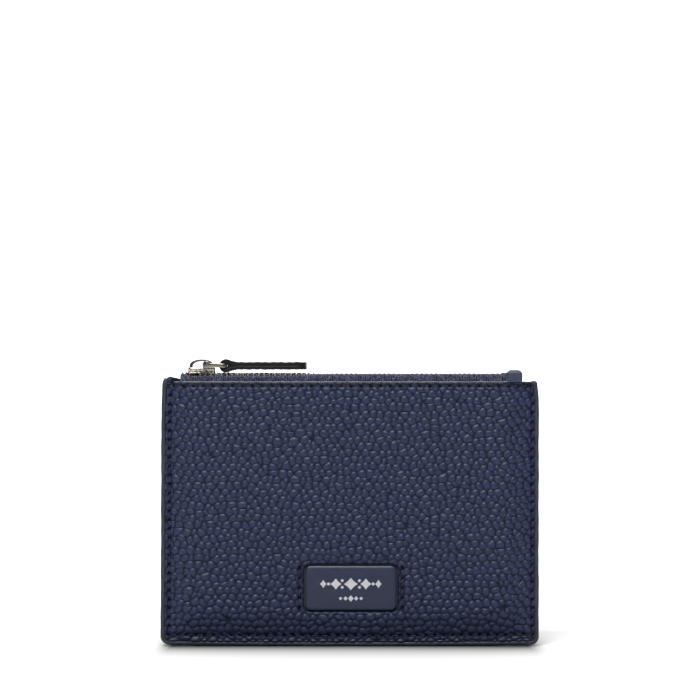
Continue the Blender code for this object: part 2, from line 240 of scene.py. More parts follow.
class Finish:
    """A procedural material; its texture coordinates are object coordinates in millimetres."""

    def __init__(self, name):
        self.material = bpy.data.materials.new(name)
        self.material.use_nodes = True
        self.tree = self.material.node_tree
        self.shader = self.tree.nodes["Principled BSDF"]
        scale = self.add("VectorMath", operation="SCALE")
        self.link(self.add("TexCoord").outputs["Object"], scale.inputs[0])
        scale.inputs["Scale"].default_value = 1.0 / MM
        self.place = scale.outputs[0]
        self.normal = None

    def add(self, kind, **settings):
        node = self.tree.nodes.new("ShaderNode" + kind)
        for key, value in settings.items():
            setattr(node, key, value)
        return node

    def link(self, source, target):
        if isinstance(source, bpy.types.NodeSocket):
            self.tree.links.new(source, target)
        else:
            target.default_value = source

    def math(self, operation, a, b=0.0):
        node = self.add("Math", operation=operation)
        self.link(a, node.inputs[0])
        self.link(b, node.inputs[1])
        return node.outputs[0]

    def plus(self, a, b):
        return self.math("ADD", a, b)

    def times(self, a, b):
        return self.math("MULTIPLY", a, b)

    def stretch(self, x, y, z):
        """Coordinates multiplied by a factor for each axis."""
        node = self.add("VectorMath", operation="MULTIPLY")
        self.link(self.place, node.inputs[0])
        node.inputs[1].default_value = (x, y, z)
        return node.outputs[0]

    def noise(self, size, detail=2.0, rough=0.55, place=None):
        node = self.add("TexNoise")
        self.link(place or self.place, node.inputs["Vector"])
        node.inputs["Scale"].default_value = 1.0 / size
        node.inputs["Detail"].default_value = detail
        node.inputs["Roughness"].default_value = rough
        return node.outputs["Fac"]

    def cells(self, size):
        node = self.add("TexVoronoi", feature="F1")
        self.link(self.place, node.inputs["Vector"])
        node.inputs["Scale"].default_value = 1.0 / size
        return node.outputs["Distance"]

    def axis(self, index):
        node = self.add("SeparateXYZ")
        self.link(self.place, node.inputs[0])
        return node.outputs[index]

    def wave(self, value, period, phase=0.0):
        """0 to 1 along value with the given period in millimetres."""
        angle = self.plus(self.times(value, 2.0 * math.pi / period), phase)
        return self.plus(self.times(self.math("SINE", angle), 0.5), 0.5)

    def span(self, value, low, high, to_low=0.0, to_high=1.0):
        node = self.add("MapRange", interpolation_type="SMOOTHSTEP")
        self.link(value, node.inputs["Value"])
        for key, number in (("From Min", low), ("From Max", high), ("To Min", to_low), ("To Max", to_high)):
            node.inputs[key].default_value = number
        return node.outputs["Result"]

    def mix(self, factor, a, b):
        node = self.add("Mix", data_type="RGBA")
        self.link(factor, node.inputs["Factor"])
        self.link(a, node.inputs["A"])
        self.link(b, node.inputs["B"])
        return node.outputs["Result"]

    def bump(self, height, depth):
        """Adds a bump whose height of 1 is depth millimetres."""
        node = self.add("Bump")
        self.link(height, node.inputs["Height"])
        node.inputs["Distance"].default_value = depth * MM
        node.inputs["Strength"].default_value = 1.0
        if self.normal:
            self.link(self.normal, node.inputs["Normal"])
        self.normal = node.outputs["Normal"]

    def done(self, color, roughness, metallic=0.0, specular=0.5, sheen=0.0):
        values = {"Base Color": color, "Roughness": roughness, "Metallic": metallic,
                  "Specular IOR Level": specular, "Sheen Weight": sheen}
        if self.normal:
            values["Normal"] = self.normal
        for key, value in values.items():
            self.link(value, self.shader.inputs[key])
        return self.material


def grained_leather():
    """Pebbled leather: the relief attribute is 0 in a crease, 1 on a crown, -1 in a needle hole. The colour
    follows it, with painted shade in the creases and the needle holes.
    """
    f = Finish("grained_leather")
    relief = f.add("Attribute", attribute_name="relief").outputs["Fac"]
    # Painted shade: the colour darkens from the crowns down into the creases.
    color = f.mix(f.span(relief, 0.1, 0.8), srgb(12, 16, 34), srgb(26, 37, 68))
    color = f.mix(f.span(f.noise(14.0, 3.0), 0.35, 0.7, 0.0, 0.2), color, srgb(20, 28, 51))
    # Painted shade: the needle holes (relief -1) are coloured near black.
    color = f.mix(f.span(relief, -0.7, -0.1), srgb(5, 6, 12), color)
    f.bump(f.noise(0.16, 3.0, 0.65), 0.010)
    f.bump(f.cells(0.42), 0.012)
    rough = f.plus(f.span(relief, 0.0, 1.0, 0.48, 0.43), f.span(f.noise(0.3), 0.3, 0.7, -0.04, 0.05))
    return f.done(color, rough, specular=f.span(relief, 0.05, 0.75, 0.13, 0.36))


def smooth_leather(name, color, deep, rough=0.42):
    f = Finish(name)
    tint = f.mix(f.span(f.noise(3.5, 3.0), 0.35, 0.68), deep, color)
    tint = f.mix(f.span(f.cells(0.22), 0.0, 0.18, 0.45, 0.0), tint, deep)
    f.bump(f.cells(0.3), 0.014)
    f.bump(f.noise(0.7, 4.0, 0.6), 0.03)
    return f.done(tint, f.span(f.noise(0.6), 0.3, 0.7, rough - 0.06, rough + 0.08))


def edge_paint(name, deep, color, rough=0.52, wear=1.0, gloss=0.5):
    f = Finish(name)
    tint = f.mix(f.span(f.noise(1.6, 3.0), 0.35, 0.7), deep, color)
    f.bump(f.noise(0.35, 3.0), 0.035 * wear)
    f.bump(f.noise(1.8, 2.0), 0.10 * wear)
    return f.done(tint, f.span(f.noise(0.8), 0.3, 0.7, rough - 0.06, rough + 0.14), specular=gloss)


def knitted_tape():
    """Knitted zip tape: columns of small V-shaped loops of navy yarn with paler flecks."""
    f = Finish("knitted_tape")
    x, z = f.axis(0), f.axis(2)
    slant = f.math("ABSOLUTE", f.math("SUBTRACT", f.wave(x, TAPE_RIB), 0.5))
    rows = f.wave(f.plus(z, f.times(slant, 1.1)), 0.74)
    ribs = f.wave(x, TAPE_RIB / 2, 1.2)
    knit = f.times(rows, f.plus(f.times(ribs, 0.6), 0.4))
    # Painted shade and highlight: the colour follows the knit's height, dark in its hollows and light on its
    # loops.
    color = f.mix(f.span(knit, 0.1, 0.8), srgb(6, 7, 25), srgb(50, 53, 95))
    flecks = f.span(f.noise(0.42, 2.0), 0.52, 0.64)
    color = f.mix(f.times(flecks, 0.8), color, srgb(122, 125, 158))
    f.bump(knit, 0.34)
    f.bump(f.noise(0.22, 2.0), 0.10)
    return f.done(color, 0.88, specular=0.2, sheen=0.25)


def woven_lining():
    f = Finish("woven_lining")
    x, z = f.axis(0), f.axis(2)
    weave = f.times(f.wave(f.plus(x, z), 0.5), f.wave(f.math("SUBTRACT", x, z), 0.5))
    color = f.mix(weave, srgb(84, 8, 16), srgb(158, 26, 38))
    f.bump(weave, 0.06)
    f.bump(f.noise(6.0, 2.0), 0.25)
    return f.done(color, 0.72, specular=0.3, sheen=0.3)


def nickel(name, color, rough):
    f = Finish(name)
    brushed = f.noise(0.35, 3.0, 0.6, f.stretch(0.25, 1.0, 1.0))
    tint = f.mix(f.span(f.noise(1.4, 3.0), 0.4, 0.75), color, [c * 0.82 for c in color[:3]] + [1.0])
    f.bump(f.noise(0.5, 2.0), 0.008)
    return f.done(tint, f.span(brushed, 0.3, 0.7, rough - 0.05, rough + 0.09), metallic=1.0)


def thread(name, color, deep):
    """Twisted sewing thread."""
    f = Finish(name)
    along = f.plus(f.plus(f.axis(0), f.axis(2)), f.times(f.axis(1), 1.4))
    ply = f.wave(along, 0.34)
    f.bump(ply, 0.07)
    return f.done(f.mix(ply, deep, color), 0.7, specular=0.15, sheen=0.15)


def foil():
    """Stamped silver foil, thinly speckled where it has not taken on the leather."""
    f = Finish("stamped_foil")
    specks = f.span(f.noise(0.14, 2.0, 0.7), 0.60, 0.70)
    color = f.mix(specks, srgb(205, 207, 212), srgb(96, 100, 116))
    f.bump(f.noise(0.12, 2.0), 0.015)
    return f.done(color, f.span(f.noise(0.5), 0.3, 0.7, 0.32, 0.5), metallic=0.75)


def matt_board():
    f = Finish("backing_board")
    fibres = f.noise(0.4, 3.0, 0.6, f.stretch(0.4, 1.0, 1.0))
    f.bump(fibres, 0.04)
    return f.done(f.mix(fibres, srgb(24, 24, 28), srgb(52, 51, 56)), 0.9)


def paper_floor():
    """White sweep that glows towards the back, with a painted contact shadow round the holder's foot. In
    front of the picture it is grey, so it casts no glare.
    """
    f = Finish("white_floor_painted_shadow")
    f.link(f.span(f.axis(1), 60.0, 700.0, 0.0, 1.3), f.shader.inputs["Emission Strength"])
    f.shader.inputs["Emission Color"].default_value = (1.0, 1.0, 1.0, 1.0)
    # Painted contact shadow: the floor's colour darkens towards srgb 40 near the holder's footprint and
    # fades over about 26 mm, reaching less far to the sides.
    beside = f.math("MAXIMUM", f.math("SUBTRACT", f.math("ABSOLUTE", f.axis(0)), 64.0), 0.0)
    before = f.math("MAXIMUM", f.math("SUBTRACT", f.math("ABSOLUTE", f.axis(1)), 1.0), 0.0)
    beside = f.times(beside, 7.0)
    reach = f.math("SQRT", f.plus(f.math("POWER", beside, 2.0), f.math("POWER", before, 2.0)))
    clear = f.math("SUBTRACT", 1.0, f.math("EXPONENT", f.times(reach, -1.0 / 26.0)))
    paper = f.mix(f.noise(30.0), srgb(232, 232, 232), srgb(236, 236, 236))
    paper = f.mix(f.span(f.axis(1), -900.0, -225.0), srgb(130, 130, 130), paper)
    f.bump(f.noise(0.8, 2.0), 0.01)
    # clear is 0 at the holder's foot, where the painted contact shadow is darkest, and 1 away from it.
    return f.done(f.mix(clear, srgb(40, 40, 40), paper), 0.9, specular=0.1)


# Leather surfaces

def warp(x, z):
    """The holder is cut a little out of square: its left side leans and its bottom edge bows."""
    rise = np.clip(z / BODY_TOP, 0.0, 1.0)
    left = np.clip(-x / HALF_WIDTH, 0.0, 1.0)
    right = np.clip(x / HALF_WIDTH, 0.0, 1.0)
    bow = 0.45 * (x / HALF_WIDTH) ** 2 * (1.0 - rise) ** 3
    x, z = proud_corner(x, z)
    lean = 0.25 * rise - 0.65 + 0.35 * smoothstep(z, 80.0, 95.3)
    narrowing = 0.1 * (1.0 - rise) + 0.55 * smoothstep(z, 88.0, 95.3) - 0.5
    return x + left * lean - right * narrowing, z + bow


def proud_corner(x, z):
    """The top left corner stands up a little and is cut round."""
    radius = 3.2
    z = z + 1.75 * smoothstep(z, 90.0, 95.1) * smoothstep(-x, 63.3, 64.3)
    u = np.clip((-x - 64.3) / radius, 0.0, 1.0)
    v = np.clip((z - 93.4) / radius, 0.0, 1.0)
    x = x + radius * u * (1.0 - np.sqrt(1.0 - 0.5 * v ** 2))
    return x, z - radius * v * (1.0 - np.sqrt(1.0 - 0.5 * u ** 2))


def fullness(x, z):
    """0 in the side and bottom seams, rising smoothly to 1 where the layers are flat."""
    return smoothstep(66.0 - np.abs(x), 0.0, 11.0) * smoothstep(z, 2.0, 13.0)


def seam_to_flat(x, z):
    """Depth of a leather's outer face, without grain, groove or holes."""
    return SEAM_DEPTH + (FLAT_DEPTH - SEAM_DEPTH) * fullness(x, z)


def stitch_bed(x, z):
    """Depth that the stitches lie on: the bottom of the groove."""
    return seam_to_flat(x, z) - 0.3


def window_distance(x, z):
    """Distance outside the rounded outline of the emblem patch, negative inside."""
    u = np.abs(x - PATCH_CENTRE[0]) - PATCH_HALF[0] + PATCH_RADIUS
    v = np.abs(z - PATCH_CENTRE[1]) - PATCH_HALF[1] + PATCH_RADIUS
    outside = np.hypot(np.maximum(u, 0.0), np.maximum(v, 0.0))
    return outside + np.minimum(np.maximum(u, v), 0.0) - PATCH_RADIUS


def pebbles(x, z, seed):
    """Relief of pebble-grained leather, 0 in the creases to 1 on the crowns.

    Each point belongs to the nearest of a jittered, staggered grid of seeds of uneven weight.
    """
    size, tall, jitter = PEBBLE_SIZE, 0.84 * PEBBLE_SIZE, 0.58
    table = np.random.default_rng(seed).random((4, 128, 128))
    x = x + 0.15 * np.sin(z * 1.3 + 0.7 * np.sin(x * 0.6))
    z = z + 0.15 * np.sin(x * 1.2 + 0.9 * np.sin(z * 0.5))
    row = np.floor(z / tall).astype(int)
    first = np.full(x.shape, 99.0)
    second = np.full(x.shape, 99.0)
    crown = np.zeros(x.shape)
    for j in range(-2, 3):
        stagger = 0.5 * ((row + j) % 2)
        column = np.floor(x / size - stagger).astype(int)
        for i in range(-2, 3):
            shift_x, shift_z, weight, height = table[:, (column + i) % 128, (row + j) % 128]
            dx = x - (column + i + 0.5 + stagger + jitter * (shift_x - 0.5)) * size
            dz = z - (row + j + 0.5 + jitter * (shift_z - 0.5)) * tall
            reach = np.where(weight < 0.15, 0.62, 0.88 + 0.22 * weight)
            distance = np.hypot(dx, 1.08 * dz) / reach
            nearer = distance < first
            second = np.where(nearer, first, np.minimum(second, distance))
            crown = np.where(nearer, 0.78 + 0.22 * height, crown)
            first = np.where(nearer, distance, first)
    share = first / second
    return crown * (0.8 * (1.0 - share ** 2.4) + 0.2 * np.sqrt(np.clip(1.0 - share ** 2.5, 0.0, 1.0)))


def row_points(fixed, low, high, pitch, vertical):
    count = max(2, int(round((high - low) / pitch)) + 1)
    run = np.linspace(low, high, count)
    held = np.full(count, fixed)
    return np.stack([held, run] if vertical else [run, held], 1)


SEAM_ROWS = [
    row_points(SIDE_ROW[0], BOTTOM_ROW, TOP_ROW, STITCH_PITCH, True),
    row_points(SIDE_ROW[1], BOTTOM_ROW, TOP_ROW, STITCH_PITCH, True),
    row_points(BOTTOM_ROW, SIDE_ROW[0], SIDE_ROW[1], STITCH_PITCH, False),
    row_points(TOP_ROW, SIDE_ROW[0] + 1.2, SIDE_ROW[1] - 1.2, TOP_PITCH, False),
]
PATCH_ROWS = [
    row_points(PATCH_CENTRE[0] + s * PATCH_ROW, PATCH_CENTRE[1] - PATCH_ROW_HALF,
               PATCH_CENTRE[1] + PATCH_ROW_HALF, STITCH_PITCH, True)
    for s in (-1, 1)
]


def row_distance(x, z, rows):
    """Distance to the nearest stitch row, and to the nearest needle hole, a slanted oval."""
    line = np.full(x.shape, 99.0)
    hole = np.full(x.shape, 99.0)
    for row in rows:
        start, stop = row[0], row[-1]
        length = np.hypot(*(stop - start))
        ux, uz = (stop - start) / length
        dx, dz = x - start[0], z - start[1]
        along = np.clip(dx * ux + dz * uz, 0.0, length)
        line = np.minimum(line, np.hypot(dx - along * ux, dz - along * uz))
        step = length / (len(row) - 1)
        nearest = np.round(along / step) * step
        ahead = along - nearest
        beside = dz * ux - dx * uz
        slanted = np.hypot(0.62 * ahead - 0.35 * beside, 1.45 * beside + 0.45 * ahead)
        straight = np.hypot(dx - nearest * ux, dz - nearest * uz)
        hole = np.minimum(hole, np.maximum(slanted, 0.6 * straight))
    return line, hole


def roll_off(distance, radius):
    """How far a surface has turned in at a distance from its rounded edge."""
    d = np.clip(distance, 0.0, radius)
    return radius - np.sqrt(np.maximum(radius ** 2 - (radius - d) ** 2, 0.0))


def grain_fade(line):
    """Grain is shallower in a seam."""
    return 0.40 + 0.60 * smoothstep(line, 0.3, 2.0)


def round_corners(x, z, side_x, end_z, corner):
    """Squeezes a grid's square corners at -side_x and side_x, end_z into round ones."""
    up = 1.0 if end_z > z.mean() else -1.0
    cx = np.maximum(np.abs(x) - (side_x - corner), 0.0)
    cz = np.maximum(up * (z - end_z) + corner, 0.0)
    both = (cx > 0.0) & (cz > 0.0)
    pull = np.where(both, np.maximum(cx, cz) / np.maximum(np.hypot(cx, cz), 1e-9), 1.0)
    rounded_x = np.where(both, np.sign(x) * (side_x - corner + cx * pull), x)
    return rounded_x, np.where(both, end_z + up * (cz * pull - corner), z)


def set_relief(obj, relief, mask, hole, width):
    """Gives the leather's material its relief: 0 to 1 over the grain, -1 in the needle holes. The material
    paints shade from it into the creases and the holes.
    """
    # pierced marks the needle holes, which the material paints near black as shade.
    pierced = np.exp(-(hole / width) ** 4)
    values = np.zeros(len(obj.data.vertices), np.float32)
    values[:relief.size] = (relief * (0.55 + 0.45 * mask) * (1.0 - pierced) - pierced).reshape(-1)
    obj.data.attributes.new("relief", "FLOAT", "POINT").data.foreach_set("value", values)


def leather_panel(name, side, rows, seed, material, window=False):
    """One leather of the pouch: a grained outer face with rolled edges and a plain inside."""
    xs = axis_lines(LEATHER_LOW[0] - 0.1, LEATHER_HIGH[0] + 0.1, GRID_STEP)
    zs = axis_lines(LEATHER_LOW[2] - 0.2, LEATHER_HIGH[2], GRID_STEP)
    px, pz = np.meshgrid(xs, zs, indexing="ij")
    px, pz = round_corners(px, pz, xs[-1], zs[0], 2.3)
    inside = np.zeros(px.shape, bool)
    if window:
        # The points next to the window's outline move onto it, and those inside are left out.
        offset = window_distance(px, pz) - WINDOW_GAP
        near = (offset > -0.38 * GRID_STEP) & (offset < 0.62 * GRID_STEP)
        step = 0.01
        slope_x = (window_distance(px + step, pz) - WINDOW_GAP - offset) / step
        slope_z = (window_distance(px, pz + step) - WINDOW_GAP - offset) / step
        px = np.where(near, px - offset * slope_x, px)
        pz = np.where(near, pz - offset * slope_z, pz)
        inside = (offset < 0.0) & ~near
    relief = pebbles(px, pz, seed)
    line, hole = row_distance(px, pz, rows)
    mask = grain_fade(line)
    depth = seam_to_flat(px, pz)
    if window:
        distance = window_distance(px, pz)
        mask = mask * (0.35 + 0.65 * smoothstep(distance, 0.3, 2.0))
        pinch = np.exp(-(np.maximum(distance, 0.0) / 2.6) ** 2)
        beside = smoothstep(PATCH_HALF[0] + 4.0 - np.abs(px - PATCH_CENTRE[0]), 0.0, 6.0)
        depth -= 0.42 * pinch * beside + roll_off(distance - WINDOW_GAP, 0.5)
    depth -= GROOVE_DEPTH * np.exp(-(line / GROOVE_WIDTH) ** 2)
    depth -= HOLE_DEPTH * np.exp(-(hole / HOLE_WIDTH) ** 2)
    depth += PEBBLE_RELIEF * (relief - 0.60) * mask
    edge = np.minimum(np.minimum(px - px[0, 0], px[-1, 0] - px), zs[-1] - pz)
    depth -= roll_off(edge, 0.45)
    wx, wz = warp(px, pz)
    points = np.stack([wx, side * depth, wz], -1).reshape(-1, 3)
    quads = grid_quads(*px.shape)
    keep = ~(inside[:-1, :-1] | inside[1:, :-1] | inside[1:, 1:] | inside[:-1, 1:])
    if side > 0:
        quads = quads[..., ::-1]
    points, faces = skirt(points, [tuple(q) for q in quads[keep].tolist()], side, curved=True)
    panel = add_mesh(name + "_panel", points, faces, material, slot="grained_leather", replaces=[name])
    set_relief(panel, relief, mask, hole, 0.60)


def border_loops(faces):
    """Loops of points along the open edges of a surface, in the order of their faces."""
    edges = {}
    for face in faces:
        for i, a in enumerate(face):
            edges[a, face[(i + 1) % len(face)]] = True
    follow = {a: b for a, b in edges if (b, a) not in edges}
    loops = []
    while follow:
        start, point = next(iter(follow.items()))
        loop = [start]
        del follow[start]
        while point != start:
            loop.append(point)
            point = follow.pop(point)
        loops.append(loop)
    return loops


def skirt(points, faces, side, thick=LEATHER_THICK, curved=False):
    """Walls from a panel's open edges back to its inner face, which one or two faces close.

    A curved panel's inner face first rises from the seams to the flat middle.
    """
    loops = border_loops(faces)
    longest = max(loops, key=len)
    inner = points - np.array([0.0, side * thick, 0.0])
    parts = [points]
    rims = []
    count = len(points)
    for loop in loops:
        rings = [inner[loop]]
        x, _, z = inner[loop].T
        if curved and loop is longest:
            for share in (0.25, 0.5, 0.75, 1.0):
                ring_x = x * (1.0 - 0.17 * share)
                ring_z = z + share * (13.0 - 0.158 * z)
                rings.append(np.stack([ring_x, side * (seam_to_flat(ring_x, ring_z) - thick), ring_z], 1))
        elif curved:
            rings[0][:, 1] = side * (FLAT_DEPTH - thick - 0.25)
        rim = loop
        for ring in rings:
            last, rim = rim, list(range(count, count + len(loop)))
            count += len(loop)
            parts.append(ring)
            for i in range(len(loop)):
                j = (i + 1) % len(loop)
                faces.append((last[j], last[i], rim[i], rim[j]))
        rims.append(rim)
    points = np.concatenate(parts)
    faces.extend([tuple(rims[0][::-1])] if len(rims) == 1 else ring_cap(points, rims))
    return points, faces


def ring_cap(points, rims):
    """Two faces across the flat ring between an outer loop and the loop of a hole in it."""
    outer, hole = sorted(rims, key=len, reverse=True)
    flat = points[:, [0, 2]]
    start = int(np.argmin(np.hypot(*(flat[outer] - flat[hole[0]]).T)))
    outer = outer[start:] + outer[:start]
    middle = len(hole) // 2
    half = int(np.argmin(np.hypot(*(flat[outer] - flat[hole[middle]]).T)))
    first = outer[:half + 1] + hole[middle:] + hole[:1]
    second = outer[half:] + outer[:1] + hole[:middle + 1]
    return [tuple(first[::-1]), tuple(second[::-1])]


# Camera, floor and light

def make_camera():
    """Level with the slider, square to the front."""
    distance, view_width, height = 1.2, 0.2513, 0.1065
    data = bpy.data.cameras.new("camera")
    data.sensor_width = 36.0
    data.lens = data.sensor_width * distance / view_width
    data.clip_end = 20.0
    camera = bpy.data.objects.new("camera", data)
    camera.location = (0.0, -distance - FLAT_DEPTH * MM, height)
    camera.rotation_euler = (math.pi / 2, 0.0, 0.0)
    bpy.context.scene.collection.objects.link(camera)
    bpy.context.scene.camera = camera


def add_light(name, place, target, size, power):
    data = bpy.data.lights.new(name, "AREA")
    data.shape = "RECTANGLE"
    data.size, data.size_y = size
    data.energy = power
    light = bpy.data.objects.new(name, data)
    light.location = place
    direction = Vector(target) - Vector(place)
    light.rotation_euler = direction.to_track_quat("-Z", "Y").to_euler()
    bpy.context.scene.collection.objects.link(light)


def make_stage():
    """A floor that curves up into a backdrop, three area lights and a dim white world, in metres."""
    mesh = bpy.data.meshes.new("floor")
    half_width, front, back, floor = 6.0, -5.0, 2.0, -0.05 * MM
    profile = [(front, floor), (back, floor)]
    for a in np.linspace(0.1, math.pi / 2, 12):
        profile.append((back + math.sin(a), floor + 1.0 - math.cos(a)))
    profile.append((back + 1.0, 5.0))
    verts = [(sign * half_width, y, z) for y, z in profile for sign in (-1, 1)]
    faces = [(2 * i, 2 * i + 1, 2 * i + 3, 2 * i + 2) for i in range(len(profile) - 1)]
    mesh.from_pydata(verts, [], faces)
    mesh.materials.append(paper_floor())
    mesh.shade_smooth()
    obj = bpy.data.objects.new("floor", mesh)
    bpy.context.scene.collection.objects.link(obj)
    add_light("overhead", (0.0, -0.05, 1.2), (0.0, 0.0, 0.0), (1.2, 0.7), 7.0)
    add_light("key", (-0.15, -0.72, 1.04), (0.0, 0.0, 0.04), (0.7, 0.3), 16.5)
    add_light("front_fill", (-0.3, -1.6, 0.8), (0.0, 0.0, 0.05), (0.5, 0.5), 2.1)
    world = bpy.data.worlds.new("studio")
    world.use_nodes = True
    background = world.node_tree.nodes["Background"]
    background.inputs["Color"].default_value = (1.0, 1.0, 1.0, 1.0)
    background.inputs["Strength"].default_value = 0.09
    bpy.context.scene.world = world
    bpy.context.scene.view_settings.view_transform = "Standard"
    bpy.context.scene.view_settings.look = "None"


# Edge, patch and lining

def edge_path():
    """The painted edge's centre line: down the left side, along the bottom and up the right."""
    inset = 0.75
    x, z = HALF_WIDTH - inset, inset
    bend = 3.1 - inset
    left = axis_lines(BODY_TOP - 0.2, z + bend, 0.7)
    bottom = axis_lines(-x + bend, x - bend, 0.7)
    return np.concatenate([
        np.stack([np.full(len(left), -x), left], 1),
        arc_points(-x + bend, z + bend, bend, 180, 270, 8)[1:-1],
        np.stack([bottom, np.full(len(bottom), z)], 1),
        arc_points(x - bend, z + bend, bend, 270, 360, 8)[1:-1],
        np.stack([np.full(len(left), x), left[::-1]], 1),
    ])


def make_edge(paint):
    """The cut edges of all layers, sanded round and painted, with a faint groove between them."""
    flat = edge_path()
    x, z = warp(flat[:, 0], flat[:, 1])
    run = np.arange(len(flat)) * 0.7
    wobble = 1.0 + 0.05 * np.sin(run * 0.31) + 0.035 * np.sin(run * 0.83 + 1.0)
    bottom = np.clip(1.0 - flat[:, 1] / 3.0, 0.0, 1.0)
    sections = []
    for across, low in zip(0.78 * wobble, bottom):
        section = rounded_section(SEAM_DEPTH + 0.06 - 0.08 * low, across, 0.62, 4)
        section[:, 1] -= 0.10 * np.exp(-(section[:, 0] / 0.35) ** 2) * np.sign(section[:, 1])
        sections.append(section)
    points, faces = sweep(np.stack([x, np.zeros(len(x)), z], 1), sections, (0.0, 1.0, 0.0))
    add_mesh("painted_edge", points, faces, paint, slot="edge_paint", replaces=["edge_coat"])


def make_top_edges(paint):
    """The pale cut edge along the top of each leather, between the side seams. Its pale colour is partly the
    raw edge's own and partly a painted highlight of the lit top edge.
    """
    for name, side in (("front", FRONT), ("back", BACK)):
        xs = axis_lines(-63.0, 63.4, 0.7)
        zs = np.full(len(xs), BODY_TOP - 0.03)
        depth = seam_to_flat(xs, zs) - 0.52
        wx, wz = warp(xs, zs + 0.04 * np.sin(xs * 0.7) + 0.03 * np.sin(xs * 1.9))
        path = np.stack([wx, side * depth, wz], 1)
        points, faces = sweep(path, rounded_section(0.34, 0.13, 0.1, 2), (0.0, 1.0, 0.0))
        add_mesh(name + "_top_edge", points, faces, paint, slot="edge_paint")


def patch_depth(x, z):
    """Pillowed face of the emblem patch."""
    inside = np.maximum(-window_distance(x, z), 0.0)
    rise = np.sqrt(np.clip(1.0 - (1.0 - np.clip(inside / 1.5, 0.0, 1.0)) ** 2, 0.0, 1.0))
    return FLAT_DEPTH - 0.72 + 0.62 * rise + 0.12 * smoothstep(inside, 1.0, 7.0)


def make_patch(leather):
    """Rings from the middle of the patch out to its rounded outline, over a flat back."""
    rings, spokes = 26, 160
    angles = np.linspace(0.0, 2.0 * math.pi, spokes, endpoint=False)
    across, up = np.cos(angles), np.sin(angles)
    low, high = np.zeros(spokes), np.full(spokes, 30.0)
    for _ in range(40):
        middle = (low + high) / 2
        inside = window_distance(PATCH_CENTRE[0] + across * middle, PATCH_CENTRE[1] + up * middle) < 0.0
        low = np.where(inside, middle, low)
        high = np.where(inside, high, middle)
    reach = (low + high) / 2
    points = []
    for share in 1.0 - (1.0 - np.linspace(0.03, 1.0, rings)) ** 1.6:
        x = PATCH_CENTRE[0] + across * reach * share
        z = PATCH_CENTRE[1] + up * reach * share
        points.append(np.stack([x, -patch_depth(x, z), z], 1))
    back = points[-1].copy()
    back[:, 1] = PATCH_HIGH[1]
    points, faces = loft(points + [back], flip=True)
    patch = add_mesh("emblem_panel", points, faces, leather, slot="smooth_leather",
                     replaces=["emblem_patch"])


def stamp(shell, outline):
    """A thin raised foil shape on the patch from an outline round its own middle."""
    outline = np.asarray(outline, float)
    middle = outline.mean(0)
    rows = []
    for scale, lift in ((1.0, -0.02), (1.0, 0.035), (0.9, 0.05)):
        flat = middle + (outline - middle) * scale
        x = PATCH_CENTRE[0] + flat[:, 0]
        z = PATCH_CENTRE[1] + flat[:, 1]
        rows.append(np.stack([x, -patch_depth(x, z) - lift, z], 1))
    shell.add(*loft(rows))


def lozenge(x, z, half_x, half_z, bow=0.0):
    """A four-pointed shape; bow pulls its sides in."""
    points = []
    for k in range(4):
        a, b = math.pi / 2 * k, math.pi / 2 * (k + 1)
        for t in np.linspace(0.0, 1.0, 5)[:-1]:
            pull = 1.0 - bow * math.sin(math.pi * t)
            px = (math.cos(a) * (1.0 - t) + math.cos(b) * t) * pull
            pz = (math.sin(a) * (1.0 - t) + math.sin(b) * t) * pull
            points.append((x + half_x * px, z + half_z * pz))
    return points


def dot(x, z, radius):
    return arc_points(x, z, radius, 0, 330, 12)


def make_ornament():
    """A generic stamped ornament: a row of lozenges and dots over a row of small ones."""
    shell = Shell()
    row, under = 1.5, -3.7
    stamp(shell, lozenge(0.0, row, 2.5, 2.25, 0.12))
    for s in (-1, 1):
        stamp(shell, dot(s * 3.1, row + 1.2, 0.5))
        stamp(shell, dot(s * 3.1, row - 1.2, 0.5))
        stamp(shell, lozenge(s * 5.4, row, 2.0, 2.0, 0.12))
        stamp(shell, dot(s * 8.0, row, 0.55))
        stamp(shell, lozenge(s * 9.9, row, 1.2, 1.5, 0.12))
        stamp(shell, lozenge(s * 1.9, under, 0.8, 0.8))
        stamp(shell, lozenge(s * 3.7, under, 0.65, 0.65))
    stamp(shell, lozenge(0.0, under, 1.0, 1.15))
    shell.mesh("foil_ornament", foil(), slot="nickel", smooth=False)


def make_lining(name, side, material):
    """Woven lining: flat in the pocket, drawn together in the seams, with a proud left corner."""
    thin = 0.22
    gx, gz = np.meshgrid(axis_lines(-65.6, 65.6, 0.75), axis_lines(2.6, 94.8, 1.2), indexing="ij")
    full = fullness(gx, gz)
    ripple = 0.10 * np.sin(gx * 0.21 + 1.3 * side) * np.sin(gz * 0.17 + 0.6)
    ripple += 0.05 * np.sin(gx * 0.6 + gz * 0.35)
    depth = 0.20 + 2.0 * full + ripple * full
    proud = 1.15 * smoothstep(gx, -63.9, -63.2) * smoothstep(-gx, 60.2, 61.4)
    proud += 0.35 * smoothstep(np.abs(gx), 60.5, 62.5)
    wx, wz = warp(gx, gz + smoothstep(gz, 90.0, 94.8) * proud)
    outer = np.stack([wx, side * (depth + thin), wz], -1)
    inner = np.stack([wx, side * depth, wz], -1)
    points, faces = slab(outer, inner, side)
    lining = add_mesh(name + "_cloth", points, faces, material, slot="lining_fabric", replaces=[name])


def slab(outer, inner, side):
    """Closed sheet from two grids of points, the outer one facing side."""
    columns, lines = outer.shape[:2]
    size = columns * lines
    index = np.arange(size).reshape(columns, lines)
    quads = grid_quads(columns, lines).reshape(-1, 4)
    rim = np.concatenate([index[:, 0], index[-1, 1:], index[-2::-1, -1], index[0, -2:0:-1]])
    after = np.roll(rim, -1)
    walls = np.stack([after, rim, rim + size, after + size], 1)
    faces = np.concatenate([quads, quads[:, ::-1] + size, walls])
    if side > 0:
        faces = faces[:, ::-1]
    points = np.concatenate([outer.reshape(-1, 3), inner.reshape(-1, 3)])
    return points, [tuple(f) for f in faces.tolist()]


# Stitches

